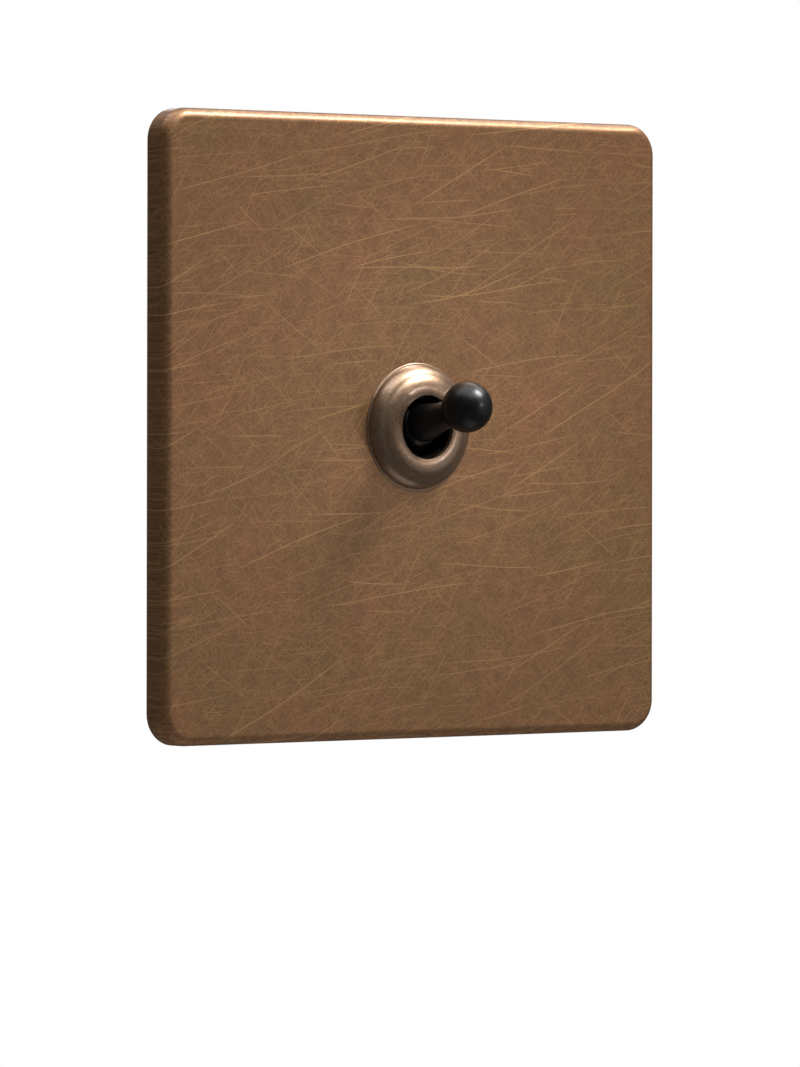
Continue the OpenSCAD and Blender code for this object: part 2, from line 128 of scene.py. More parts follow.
def rod(radius, start, end, sides=64):
    clearSelection()
    along = end - start
    bpy.ops.mesh.primitive_cylinder_add(vertices=sides, radius=radius, depth=along.length,
                                        location=(start + end) / 2)
    bpy.context.object.rotation_euler = along.to_track_quat("Z", "Y").to_euler()
    settle(bpy.context.object)
    return bpy.context.object


def traced(outline, centre, axis=outward):
    # a corner is pulled along the outline (radius, height in mm); it stays in edit mode, all selected
    side = Vector((1, 0, 0))
    places = [centre + (side * r + axis * h) * mm for r, h in outline]
    clearSelection()
    bpy.ops.mesh.primitive_plane_add(size=mm, location=places[0])
    bpy.ops.object.mode_set(mode="EDIT")
    bpy.ops.mesh.select_mode(type="VERT")
    bpy.ops.mesh.select_all(action="SELECT")
    bpy.ops.mesh.merge(type="CENTER")
    for here, there in zip(places, places[1:]):
        bpy.ops.mesh.extrude_vertices_move(TRANSFORM_OT_translate={"value": there - here})
    bpy.ops.mesh.select_all(action="SELECT")
    bpy.ops.mesh.remove_doubles(threshold=fineWeld)


def turned(outline, centre, axis=outward, steps=96):
    traced(outline, centre, axis)
    bpy.ops.mesh.spin(steps=steps, angle=2 * math.pi, center=centre, axis=axis)
    bpy.ops.object.mode_set(mode="OBJECT")
    obj = bpy.context.object
    settle(obj)
    tidyFaces(obj)
    return obj


def closed(outline):
    return outline + [outline[0]]


def arc(x, y, radius, start, stop, steps):
    angles = [math.radians(start + (stop - start) * i / steps) for i in range(steps + 1)]
    return [(x + radius * math.cos(a), y + radius * math.sin(a)) for a in angles]


def finishPiece(obj, name, *replaced, angle=35):
    # the piece takes the body, the material slot and the finish of the node that it replaces
    workOn(obj)
    obj.name = name
    obj.data.name = name
    bpy.ops.object.shade_smooth_by_angle(angle=math.radians(angle))
    applied(obj, "WEIGHTED_NORMAL", keep_sharp=True, weight=80)
    obj.data.materials.clear()
    obj.data.materials.append(slotFinishes[slotOf[replaced[0]]])
    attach(obj, bodyOf[replaced[0]])
    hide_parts(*replaced)


# ---- camera ----

camera = {
    "distance": 0.89225,       # from the plate's front face, along the view
    "turn": math.radians(37.66),
    "roll": -0.0016,
    "sideStep": 0.00244,       # the switch sits this far right of the picture's middle
    "lens": 218.0,
    "shiftY": -0.09955,
}


def placeCamera(c):
    ahead = Vector((math.sin(c["turn"]), math.cos(c["turn"]), 0))
    right = Vector((math.cos(c["turn"]), -math.sin(c["turn"]), 0))
    aim = Vector((0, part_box("front_plate")[0].y, 0))
    clearSelection()
    bpy.ops.object.camera_add(location=aim - c["distance"] * ahead - c["sideStep"] * right,
                              rotation=(math.pi / 2, c["roll"], -c["turn"]))
    view = bpy.context.object
    view.data.lens = c["lens"]
    view.data.shift_y = c["shiftY"]
    view.data.clip_start = 0.05
    view.data.clip_end = 20
    bpy.context.scene.camera = view


placeCamera(camera)

# ---- materials: shared tools and effects ----


def put(tree, kind, inputs=None, **settings):
    node = tree.nodes.new("ShaderNode" + kind)
    for name, value in settings.items():
        setattr(node, name, value)
    for key, value in (inputs or {}).items():
        if isinstance(value, bpy.types.NodeSocket):
            tree.links.new(value, node.inputs[key])
        else:
            node.inputs[key].default_value = value
    return node


def calc(tree, operation, *values, clamp=False):
    return put(tree, "Math", dict(enumerate(values)), operation=operation, use_clamp=clamp).outputs[0]


def remap(tree, value, fromLow, fromHigh, toLow=0.0, toHigh=1.0):
    return put(tree, "MapRange", {0: value, 1: fromLow, 2: fromHigh, 3: toLow, 4: toHigh}).outputs[0]


def varied(tree, value, middle, less, more):
    return remap(tree, value, 0, 1, middle - less, middle + more)


def mixColour(tree, amount, first, second):
    return put(tree, "Mix", {0: amount, 6: first, 7: second}, data_type="RGBA").outputs[2]


def newGroup(name, inputs, outputs):
    group = bpy.data.node_groups.new(name, "ShaderNodeTree")
    for socketName, kind, value in inputs:
        socket = group.interface.new_socket(socketName, in_out="INPUT", socket_type="NodeSocket" + kind)
        if value is not None:
            socket.default_value = value
    for socketName, kind in outputs:
        group.interface.new_socket(socketName, in_out="OUTPUT", socket_type="NodeSocket" + kind)
    entry = group.nodes.new("NodeGroupInput").outputs
    leave = group.nodes.new("NodeGroupOutput").inputs
    return group, entry, leave


def useGroup(tree, group, inputs):
    return put(tree, "Group", inputs, node_tree=group).outputs


hairline = {
    "wander": 0.4,         # how far off the middle of its row a scratch may run, as a share of the row
    "slant": 0.5,
    "bow": 1.2,
    "shortest": 0.22,      # half the length of the shortest, as a share of the cell
    "spare": 0.28,         # added to that for the longest
    "taper": 6.0,          # how quickly the ends fade
    "shift": 0.618,        # each layer is moved this far on from the last
}


def makeHairlines(h):
    # one long thin scratch in each cell of a slanted grid, with its own place, slant, bow and strength
    group, entry, leave = newGroup("hairlines", [
        ("Place", "Vector", None), ("Angle", "Float", 0.0), ("Length", "Float", 0.02),
        ("Gap", "Float", 0.003), ("Width", "Float", 0.0001), ("Share", "Float", 0.5),
        ("Shift", "Float", 0.0)], [("Mask", "Float")])
    spun = put(group, "VectorRotate", {"Vector": entry["Place"], "Angle": entry["Angle"]},
               rotation_type="Y_AXIS").outputs[0]
    split = put(group, "SeparateXYZ", {0: spun}).outputs
    across = calc(group, "ADD", calc(group, "DIVIDE", split[2], entry["Gap"]), entry["Shift"])
    row = calc(group, "FLOOR", across)
    stagger = put(group, "TexWhiteNoise", {"W": calc(group, "ADD", row, entry["Shift"])},
                  noise_dimensions="1D").outputs["Value"]
    along = calc(group, "ADD", calc(group, "DIVIDE", split[0], entry["Length"]), stagger)
    cell = put(group, "CombineXYZ", {0: calc(group, "FLOOR", along), 1: row, 2: entry["Shift"]}).outputs[0]
    chance = put(group, "TexWhiteNoise", {"Vector": cell}, noise_dimensions="3D").outputs
    own = put(group, "SeparateXYZ", {0: chance["Color"]}).outputs
    s = calc(group, "SUBTRACT", calc(group, "FRACT", along), 0.5)
    t = calc(group, "SUBTRACT", calc(group, "FRACT", across), 0.5)
    middle = calc(group, "MULTIPLY", calc(group, "SUBTRACT", own[0], 0.5), h["wander"])
    slant = calc(group, "MULTIPLY", calc(group, "SUBTRACT", own[1], 0.5),
                 calc(group, "MULTIPLY", s, h["slant"]))
    bow = calc(group, "MULTIPLY", calc(group, "SUBTRACT", own[2], 0.5),
               calc(group, "MULTIPLY", calc(group, "MULTIPLY", s, s), h["bow"]))
    path = calc(group, "ADD", middle, calc(group, "ADD", slant, bow))
    off = calc(group, "MULTIPLY", calc(group, "ABSOLUTE", calc(group, "SUBTRACT", t, path)), entry["Gap"])
    line = calc(group, "SUBTRACT", 1.0, calc(group, "DIVIDE", off, entry["Width"]), clamp=True)
    half = calc(group, "ADD", h["shortest"], calc(group, "MULTIPLY", own[1], h["spare"]))
    inside = calc(group, "SUBTRACT", half, calc(group, "ABSOLUTE", s))
    taper = calc(group, "MULTIPLY", inside, h["taper"], clamp=True)
    cut = calc(group, "SUBTRACT", 1.0, entry["Share"])
    shown = calc(group, "DIVIDE", calc(group, "SUBTRACT", chance["Value"], cut), entry["Share"], clamp=True)
    mask = calc(group, "MULTIPLY", calc(group, "MULTIPLY", line, taper), shown)
    group.links.new(mask, leave["Mask"])
    return group


def layHairlines(tree, place, families):
    # each family: middle angle and spread in degrees, layers, length, gap and width in mm, share, strength
    marks = None
    layer = 0
    for middle, spread, layers, length, gap, width, share, strength in families:
        for i in range(layers):
            layer += 1
            angle = middle + spread * ((i + 0.5) / layers * 2 - 1)
            mask = useGroup(tree, hairlines, {
                "Place": place, "Angle": math.radians(angle), "Length": length * mm, "Gap": gap * mm,
                "Width": width * mm, "Share": share, "Shift": hairline["shift"] * layer})["Mask"]
            mask = calc(tree, "MULTIPLY", mask, strength)
            marks = mask if marks is None else calc(tree, "MAXIMUM", marks, mask)
    return marks


def swayed(tree, place, scale, amount):
    # bends straight lines gently
    drift = put(tree, "TexNoise", {"Vector": place, "Scale": scale, "Detail": 1.0}).outputs["Color"]
    drift = put(tree, "VectorMath", {0: drift, 1: (0.5, 0.5, 0.5)}, operation="SUBTRACT").outputs[0]
    drift = put(tree, "VectorMath", {0: drift, "Scale": amount}, operation="SCALE").outputs[0]
    return put(tree, "VectorMath", {0: place, 1: drift}, operation="ADD").outputs[0]


usualNoise = (0.3, 0.7)    # the noise seldom leaves this range


def makeGrain():
    # cloudy tone over centimetres, mottle over millimetres, and fine speckle
    group, entry, leave = newGroup("grain", [
        ("Place", "Vector", None), ("Cloud", "Float", 60.0), ("Mottle", "Float", 500.0),
        ("Speckle", "Float", 3000.0)], [("Clouds", "Float"), ("Mottles", "Float"), ("Speckles", "Float")])
    for size, detail in (("Cloud", 3.0), ("Mottle", 4.0), ("Speckle", 2.0)):
        noise = put(group, "TexNoise", {"Vector": entry["Place"], "Scale": entry[size], "Detail": detail,
                                        "Roughness": 0.6}).outputs["Fac"]
        group.links.new(remap(group, noise, *usualNoise), leave[size + "s"])
    return group


hairlines = makeHairlines(hairline)
grain = makeGrain()


def startMaterial(name, roughness=0.5, metallic=0.0, **constants):
    material = bpy.data.materials.new(name)
    material.use_nodes = True
    tree = material.node_tree
    shader = tree.nodes["Principled BSDF"]
    shader.inputs["Roughness"].default_value = roughness
    shader.inputs["Metallic"].default_value = metallic
    for key, value in constants.items():
        shader.inputs[key.replace("_", " ")].default_value = value
    place = put(tree, "TexCoord").outputs["Object"]
    return material, tree, shader, place


def addBump(tree, shader, height, depth, strength):
    bump = put(tree, "Bump", {"Height": height, "Strength": strength, "Distance": depth})
    tree.links.new(bump.outputs["Normal"], shader.inputs["Normal"])


# ---- aged bronze, for the plate and the collar ----

agedBronze = {
    "olive": (0.172, 0.093, 0.036, 1),
    "russet": (0.208, 0.091, 0.041, 1),
    "scratch": (0.52, 0.30, 0.125, 1),
    "dark": (0.085, 0.044, 0.024, 1),
    "metallic": 0.62,
    "coatRoughness": 0.16,
    "scales": {"Cloud": 70.0, "Mottle": 420.0, "Speckle": 3200.0},
    "stain": 0.30,         # how much of the dark tone the mottle brings in
    "speckle": 0.20,       # how far the speckle lightens and darkens
    "variation": (0.05, 0.05),   # roughness below and above its middle
    "speckleRough": 0.05,
    "relief": 0.006,       # mm
    "reliefStrength": 0.5,
    "sway": (22.0, 0.007),       # scale and reach of the bends in the scratches
    # angle and spread in degrees, layers, length, gap, width in mm, share shown, strength;
    # past 21 layers in all the shader is too long for the renderer and turns black
    "scratches": [
        (16, 16, 3, 30, 3.6, 0.100, 0.85, 0.76),
        (2, 10, 2, 20, 3.6, 0.095, 0.80, 0.64),
        (-38, 16, 1, 13, 3.8, 0.090, 0.75, 0.55),
        (58, 14, 1, 12, 3.6, 0.090, 0.75, 0.55),
        (22, 30, 3, 6, 0.80, 0.075, 0.85, 0.44),
        (-42, 36, 3, 3.5, 0.50, 0.070, 0.85, 0.36),
        (68, 26, 2, 3, 0.45, 0.070, 0.85, 0.32),
    ],
}


def makeAgedBronze(name, b, roughness, coat, strength=1.0):
    material, tree, shader, place = startMaterial(name, roughness, b["metallic"], Coat_Weight=coat,
                                                  Coat_Roughness=b["coatRoughness"])
    marks = layHairlines(tree, swayed(tree, place, *b["sway"]), b["scratches"])
    marks = calc(tree, "MULTIPLY", marks, strength)
    tones = useGroup(tree, grain, {"Place": place, **b["scales"]})
    patina = mixColour(tree, tones["Clouds"], b["olive"], b["russet"])
    patina = mixColour(tree, remap(tree, tones["Mottles"], 0, 1, 0.0, b["stain"]), patina, b["dark"])
    speckle = varied(tree, tones["Speckles"], 1, b["speckle"], b["speckle"])
    patina = put(tree, "VectorMath", {0: patina, "Scale": speckle}, operation="SCALE").outputs[0]
    tree.links.new(mixColour(tree, marks, patina, b["scratch"]), shader.inputs["Base Color"])
    rough = calc(tree, "ADD", varied(tree, tones["Mottles"], roughness, *b["variation"]),
                 calc(tree, "MULTIPLY", tones["Speckles"], b["speckleRough"]))
    tree.links.new(rough, shader.inputs["Roughness"])
    addBump(tree, shader, tones["Speckles"], b["relief"] * mm, b["reliefStrength"])
    return material


rubbedBronze = dict(agedBronze, olive=(0.29, 0.205, 0.137, 1), russet=(0.32, 0.197, 0.130, 1),
                    dark=(0.12, 0.080, 0.050, 1), metallic=0.9)
# roughness, then the coat's weight
plateFinish = makeAgedBronze("agedPlate", agedBronze, 0.42, 0.2)
collarFinish = makeAgedBronze("agedCollar", rubbedBronze, 0.33, 0.60, strength=0.30)

# ---- satin black, for the lever and the bush ----

satinBlack = {
    "colour": (0.0022, 0.0022, 0.0025, 1),
    "worn": (0.005, 0.005, 0.005, 1),
    "roughness": 0.31,
    "variation": (0.03, 0.05),
    "gloss": 0.36,
    "scales": {"Cloud": 200.0, "Mottle": 900.0, "Speckle": 5000.0},
    "relief": 0.004,       # mm
    "reliefStrength": 0.35,
}


def makeSatinBlack(name, s):
    material, tree, shader, place = startMaterial(name, s["roughness"], Specular_IOR_Level=s["gloss"])
    tones = useGroup(tree, grain, {"Place": place, **s["scales"]})
    tree.links.new(mixColour(tree, tones["Mottles"], s["colour"], s["worn"]), shader.inputs["Base Color"])
    rough = varied(tree, tones["Mottles"], s["roughness"], *s["variation"])
    tree.links.new(rough, shader.inputs["Roughness"])
    addBump(tree, shader, tones["Speckles"], s["relief"] * mm, s["reliefStrength"])
    return material


leverFinish = makeSatinBlack("satinBlack", satinBlack)

# ---- bare and plated metals, for everything behind the plate ----


plating = {   # what every plated metal has, unless it says otherwise in the list below
    "cloud": 140.0,
    "mottle": 900.0,
    "speckle": 4000.0,
    "stain": 0.25,         # how much of the dark tone the mottle brings in
    "variation": (0.06, 0.08),
    # the same eight values as for the bronze
    "scuffs": [(14, 10, 2, 8, 1.2, 0.05, 0.6, 1.0), (-52, 14, 2, 6, 1.4, 0.05, 0.5, 1.0)],
    "scuffLight": 0.4,
    "scuffRough": 0.12,
    "relief": 0.005,       # mm
    "reliefStrength": 0.5,
}


def makePlatedMetal(name, m):
    # light and dark tones of the plating, scuffs in two directions, and a fine drawn grain
    material, tree, shader, place = startMaterial(name, m["roughness"], 1.0)
    tones = useGroup(tree, grain, {"Place": place, "Cloud": m["cloud"], "Mottle": m["mottle"],
                                   "Speckle": m["speckle"]})
    colour = mixColour(tree, tones["Clouds"], m["light"], m["dark"])
    colour = mixColour(tree, remap(tree, tones["Mottles"], 0, 1, 0.0, m["stain"]), colour, m["dark"])
    scuffs = layHairlines(tree, place, m["scuffs"])
    colour = mixColour(tree, calc(tree, "MULTIPLY", scuffs, m["scuffLight"]), colour, m["light"])
    tree.links.new(colour, shader.inputs["Base Color"])
    rough = varied(tree, tones["Mottles"], m["roughness"], *m["variation"])
    rough = calc(tree, "ADD", rough, calc(tree, "MULTIPLY", scuffs, m["scuffRough"]))
    tree.links.new(rough, shader.inputs["Roughness"])
    addBump(tree, shader, tones["Speckles"], m["relief"] * mm, m["reliefStrength"])
    return material


platings = {
    "blackenedBrass": {"light": (0.010, 0.009, 0.007, 1), "dark": (0.004, 0.0035, 0.003, 1),
                       "roughness": 0.50},
    "steel": {"light": (0.62, 0.62, 0.60, 1), "dark": (0.42, 0.41, 0.39, 1), "roughness": 0.26},
    "zincSteel": {"light": (0.72, 0.73, 0.74, 1), "dark": (0.46, 0.48, 0.50, 1), "roughness": 0.36},
    "zincYoke": {"light": (0.68, 0.69, 0.69, 1), "dark": (0.57, 0.59, 0.60, 1), "roughness": 0.40,
                 "cloud": 110.0, "mottle": 420.0},
    "screwSteel": {"light": (0.74, 0.73, 0.70, 1), "dark": (0.44, 0.43, 0.40, 1), "roughness": 0.30},
    "screwBrass": {"light": (0.80, 0.58, 0.26, 1), "dark": (0.52, 0.34, 0.13, 1), "roughness": 0.28},
    "springSteel": {"light": (0.55, 0.55, 0.55, 1), "dark": (0.34, 0.34, 0.36, 1), "roughness": 0.24},
    "rivetBrass": {"light": (0.78, 0.57, 0.27, 1), "dark": (0.55, 0.37, 0.15, 1), "roughness": 0.33},
    "terminalBrass": {"light": (0.82, 0.61, 0.29, 1), "dark": (0.58, 0.39, 0.16, 1), "roughness": 0.25},
    "contactBrass": {"light": (0.80, 0.58, 0.28, 1), "dark": (0.60, 0.41, 0.19, 1), "roughness": 0.30},
    "contactSilver": {"light": (0.86, 0.85, 0.82, 1), "dark": (0.62, 0.60, 0.56, 1), "roughness": 0.22},
}
finishes = {name: makePlatedMetal(name, {**plating, **m}) for name, m in platings.items()}

# ---- mouldings, board, nylon and foam ----


moulding = {   # what every moulding has
    "cloud": 120.0,
    "coarser": 3,          # the mottle is this many times as large as the grain
    "speckFrom": 0.55,     # the part of the mottle that shows as specks
    "speckTo": 0.95,
    "variation": (0.06, 0.06),
    "reliefStrength": 0.6,
}


def makeMoulding(name, m):
    # a moulded or pressed material: two tones, specks, and a surface grain of its own scale
    material, tree, shader, place = startMaterial(name, m["roughness"])
    tones = useGroup(tree, grain, {"Place": place, "Cloud": m["cloud"],
                                   "Mottle": m["grain"] / m["coarser"], "Speckle": m["grain"]})
    colour = mixColour(tree, tones["Clouds"], m["first"], m["second"])
    specks = remap(tree, tones["Mottles"], m["speckFrom"], m["speckTo"], 0.0, m["specks"])
    colour = mixColour(tree, specks, colour, m["fleck"])
    tree.links.new(colour, shader.inputs["Base Color"])
    rough = varied(tree, tones["Speckles"], m["roughness"], *m["variation"])
    tree.links.new(rough, shader.inputs["Roughness"])
    addBump(tree, shader, tones["Speckles"], m["depth"] * mm, m["reliefStrength"])
    return material


mouldings = {
    "caseGrey": {"first": (0.36, 0.36, 0.34, 1), "second": (0.30, 0.30, 0.29, 1),
                 "fleck": (0.20, 0.20, 0.19, 1), "specks": 0.25, "grain": 2600.0, "depth": 0.020,
                 "roughness": 0.48},
    "caseBlack": {"first": (0.022, 0.021, 0.020, 1), "second": (0.034, 0.031, 0.029, 1),
                  "fleck": (0.075, 0.070, 0.062, 1), "specks": 0.30, "grain": 2400.0, "depth": 0.022,
                  "roughness": 0.36},
    "shieldFibre": {"first": (0.46, 0.34, 0.20, 1), "second": (0.38, 0.27, 0.15, 1),
                    "fleck": (0.62, 0.50, 0.34, 1), "specks": 0.5, "grain": 1800.0, "depth": 0.03,
                    "roughness": 0.72},
    "nylon": {"first": (0.78, 0.76, 0.68, 1), "second": (0.72, 0.69, 0.60, 1), "fleck": (0.66, 0.62, 0.52, 1),
              "specks": 0.2, "grain": 3000.0, "depth": 0.010, "roughness": 0.42},
    "foam": {"first": (0.045, 0.046, 0.048, 1), "second": (0.065, 0.066, 0.068, 1),
             "fleck": (0.012, 0.012, 0.012, 1), "specks": 0.8, "grain": 2200.0, "depth": 0.09,
             "roughness": 0.92},
}
finishes.update({name: makeMoulding(name, {**moulding, **m}) for name, m in mouldings.items()})
print("materials made:", len(bpy.data.materials))

# ---- which finish each material slot has ----

slotFinishes = {
    "aged_plate": plateFinish, "aged_collar": collarFinish, "satin_black": leverFinish,
    "blackened_brass": finishes["blackenedBrass"], "steel": finishes["steel"],
    "zinc_steel": finishes["zincSteel"], "zinc_yoke": finishes["zincYoke"],
    "screw_steel": finishes["screwSteel"], "screw_brass": finishes["screwBrass"],
    "spring_steel": finishes["springSteel"], "rivet_brass": finishes["rivetBrass"],
    "terminal_brass": finishes["terminalBrass"], "contact_brass": finishes["contactBrass"],
    "contact_silver": finishes["contactSilver"], "case_grey": finishes["caseGrey"],
    "case_black": finishes["caseBlack"], "shield_fibre": finishes["shieldFibre"],
    "nylon": finishes["nylon"], "foam": finishes["foam"],
}
for name, node in nodes.items():
    node.data.materials.clear()
    node.data.materials.append(slotFinishes[slotOf[name]])

# ---- front plate ----

frontPlate = {
    "corner": 4.4,         # corner radius seen from the front
    "cornerSegments": 20,
    "edge": 1.5,           # radius that softens the front edge
    "edgeSegments": 12,
    "skin": 1.5,
    "hole": 7.4,
    "holeSides": 128,
}


def makeFrontPlate(p):
    low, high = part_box("front_plate")
    size = high - low
    clearSelection()
    bpy.ops.mesh.primitive_cube_add(size=1, location=(low + high) / 2)
    plate = bpy.context.object
    plate.scale = size
    settle(plate)

    def isCorner(edge):
        start, stop = ends(plate, edge)
        return abs((stop - start).y) > size.y / 2

    def isFrontEdge(edge):
        return all(abs(end.y - low.y) < weld for end in ends(plate, edge))

    def isBack(face):
        return face.normal.y > 0.9

    pick(plate, "EDGE", isCorner)
    bpy.ops.mesh.bevel(offset=p["corner"] * mm, segments=p["cornerSegments"], affect="EDGES")
    pick(plate, "EDGE", isFrontEdge)
    bpy.ops.mesh.bevel(offset=p["edge"] * mm, segments=p["edgeSegments"], affect="EDGES")
    pick(plate, "FACE", isBack)
    bpy.ops.mesh.inset(thickness=p["skin"] * mm)
    bpy.ops.mesh.extrude_region_move(TRANSFORM_OT_translate={"value": (0, p["skin"] * mm - size.y, 0)})
    bpy.ops.object.mode_set(mode="OBJECT")
    drill = rod(p["hole"] * mm, Vector((0, low.y - mm, 0)), Vector((0, mm, 0)), p["holeSides"])
    combine(plate, drill, "DIFFERENCE")
    finishPiece(plate, "frontPlate", "front_plate", angle=30)


makeFrontPlate(frontPlate)
print("front plate made")

# ---- collar ----

collar = {
    "foot": 8.6,           # radius of the shoulder's foot
    "flange": 8.9,
    "flangeThickness": 0.13,
    "hole": 4.43,
    "crestOut": 0.80,      # from the hole's edge to the crest
    "crestInner": 2.4,     # radius of the crest towards the hole
    "shoulder": 1.9,
    "shoulderLean": 22,    # slope in degrees where the shoulder runs into the cove
    "cove": 3.0,
    "coveLean": 32,        # slope where the cove runs into the crest
    "skirt": 7.3,
    "bore": 6.0,
    "step": 1.55,          # how far the bore's step stands off the plate
}


def makeCollar(c):
    # each arc of the outline starts a degree or more past the end of the one before, so no point comes twice
    face = -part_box("front_plate")[0].y / mm
    back = -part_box("collar")[1].y / mm
    top = -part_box("collar")[0].y / mm
    crest = c["hole"] + c["crestOut"]
    low, high = math.radians(c["shoulderLean"]), math.radians(c["coveLean"])
    coveX = c["foot"] - c["shoulder"] + (c["shoulder"] + c["cove"]) * math.sin(low)
    crestRadius = (coveX - crest) / math.sin(high) - c["cove"]
    coveY = top - crestRadius + (crestRadius + c["cove"]) * math.cos(high)
    shoulderY = coveY - (c["shoulder"] + c["cove"]) * math.cos(low)
    rim = c["flange"] - c["flangeThickness"]
    outline = [(c["bore"], back), (c["skirt"], back), (c["skirt"], face), (c["flange"], face)]
    outline += arc(rim, face, c["flangeThickness"], 15, 90, 5)
    outline += arc(c["foot"] - c["shoulder"], shoulderY, c["shoulder"], 6, 90 - c["shoulderLean"], 24)
    outline += arc(coveX, coveY, c["cove"], 269 - c["shoulderLean"], 270 - c["coveLean"], 8)
    outline += arc(crest, top - crestRadius, crestRadius, 91 - c["coveLean"], 90, 16)
    edgeTurn = math.degrees(math.acos(-c["crestOut"] / c["crestInner"]))
    outline += arc(crest, top - c["crestInner"], c["crestInner"], 93, edgeTurn, 8)
    outline += [(c["hole"], face + c["step"]), (c["bore"], face + c["step"])]
    ring = turned(closed(outline), Vector((0, 0, 0)), steps=160)
    finishPiece(ring, "collarRing", "collar", angle=32)


makeCollar(collar)
print("collar made")

# ---- lever ----

lever = {
    "tilt": math.radians(13),
    "tipBall": 3.535,
    "reach": 12.4,
    "neck": 1.83,
    "skirt": 2.65,
    "skirtAt": 2.2,
    "skirtEdge": 0.35,
    "skirtSeat": 0.15,     # how far below the skirt the pivot ball's curve ends
    "pull": 3.0,           # how quickly the skirt dies away into the neck
    "pullShape": 1.8,
    "pivotBall": 3.42,
    "arm": 2.3,
    "armEnd": 9.5,
    "armChamfer": 0.2,
    "armBore": 1.55,
    "boreTop": 2.2,
    "pinHole": 0.85,
    "pinReach": 6,         # how far the drill goes to each side
}
leverPivot = Vector(joints["lever_tilt"]["pos_m"])
leverLine = Vector((0, -math.cos(lever["tilt"]), math.sin(lever["tilt"])))   # from the pivot to the ball end


def makeLever(v):
    flareFrom = v["skirtAt"] + v["skirtEdge"]
    neckTop = v["reach"] - math.sqrt(v["tipBall"] ** 2 - v["neck"] ** 2)

    def flareLeft(s):
        return math.exp(-((s - flareFrom) / v["pull"]) ** v["pullShape"])

    def flareRadius(s):
        fade = flareLeft(neckTop)
        return v["neck"] + (v["skirt"] - v["neck"]) * (flareLeft(s) - fade) / (1 - fade)

    ballFrom = -math.degrees(math.acos(v["arm"] / v["pivotBall"]))
    ballTo = math.degrees(math.asin((v["skirtAt"] - v["skirtSeat"]) / v["pivotBall"]))
    outline = [(0, -v["boreTop"]), (v["armBore"], -v["boreTop"]), (v["armBore"], -v["armEnd"]),
               (v["arm"] - v["armChamfer"], -v["armEnd"]), (v["arm"], -v["armEnd"] + v["armChamfer"])]
    outline += arc(0, 0, v["pivotBall"], ballFrom, ballTo, 24)
    outline += arc(v["skirt"] - v["skirtEdge"], flareFrom, v["skirtEdge"], -90, 0, 8)
    steps = 36
    heights = [flareFrom + (neckTop - flareFrom) * i / steps for i in range(1, steps + 1)]
    outline += [(flareRadius(s), s) for s in heights]
    tipFrom = -math.degrees(math.acos(v["neck"] / v["tipBall"])) + 0.5
    outline += arc(0, v["reach"], v["tipBall"], tipFrom, 90, 48)[:-1] + [(0, v["reach"] + v["tipBall"])]
    arm = turned(outline, leverPivot, leverLine)
    side = Vector((v["pinReach"] * mm, 0, 0))
    combine(arm, rod(v["pinHole"] * mm, leverPivot - side, leverPivot + side), "DIFFERENCE")
    finishPiece(arm, "leverArm", "toggle_lever", angle=32)


makeLever(lever)
print("lever made")

# ---- screws with cut threads ----


# how deep the ridge stands in the core in mm, its width and its crest's place in pitches, steps in a turn
threadForm = {"root": 0.12, "width": 0.84, "crest": 0.42, "steps": 20}


def threadRidge(core, outer, pitch, low, high):
    # one closed ridge, wound round the outward axis between two heights in mm
    t = threadForm
    turns = int((high - low) / pitch - t["width"])
    foot = core - t["root"]
    traced(closed([(foot, low), (outer, low + t["crest"] * pitch), (foot, low + t["width"] * pitch)]),
           Vector((0, 0, 0)))
    bpy.ops.object.mode_set(mode="OBJECT")
    ridge = bpy.context.object
    settle(ridge)
    applied(ridge, "SCREW", axis="Y", screw_offset=-pitch * mm, iterations=turns, steps=t["steps"],
            render_steps=t["steps"])
    tidyFaces(ridge, fineWeld, fill=True)
    return ridge


slotBar = {"length": 12, "height": 2}


def slotCutter(width, depth, face, towards, turn):
    # a bar that cuts a driver slot into the head's face; towards is 1 or -1 along the outward axis
    middle = face + towards * (slotBar["height"] / 2 - depth)
    clearSelection()
    bpy.ops.mesh.primitive_cube_add(size=1, location=outward * middle * mm,
                                    rotation=(0, math.radians(turn), 0))
    bar = bpy.context.object
    bar.scale = (slotBar["length"] * mm, slotBar["height"] * mm, width * mm)
    settle(bar)
    return bar


def cutScrew(outline, thread, slot):
    screw = turned(closed(outline), Vector((0, 0, 0)), steps=48)
    combine(screw, threadRidge(*thread), "UNION")
    combine(screw, slotCutter(*slot), "DIFFERENCE")
    return screw


def setAt(obj, x, z):
    obj.location = (x, 0, z)
    settle(obj)


clampScrew = {"head": 2.3, "headHeight": 1.5, "edge": 0.25, "core": 1.22, "thread": 1.5, "threadGap": 0.1,
              "pitch": 0.7, "point": 0.3, "slot": 0.7, "slotDepth": 0.8, "slotTurn": 18}


def makeClampScrew(name, node, c):
    low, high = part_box(node)
    back, tip = -high.y / mm, -low.y / mm
    under = back + c["headHeight"]
    outline = [(0, back)] + arc(c["head"] - c["edge"], back + c["edge"], c["edge"], -90, 0, 5)
    outline += [(c["head"], under), (c["core"], under), (c["core"], tip - c["point"]),
                (c["core"] - c["point"], tip), (0, tip)]
    screw = cutScrew(outline, (c["core"], c["thread"], c["pitch"], under + c["threadGap"], tip - c["point"]),
                     (c["slot"], c["slotDepth"], back, -1, c["slotTurn"]))
    setAt(screw, (low.x + high.x) / 2, (low.z + high.z) / 2)
    finishPiece(screw, name, node, angle=30)


boxScrew = {"head": 3.45, "headEdge": 0.1, "core": 1.42, "thread": 1.75, "threadFrom": 0.8, "pitch": 0.7,
            "neck": 1.6, "neckFrom": 0.1, "coneFrom": 0.5, "pointIn": 0.5, "pointUp": 0.7,
            "slot": 0.9, "slotDepth": 0.8, "slotTurn": 35}


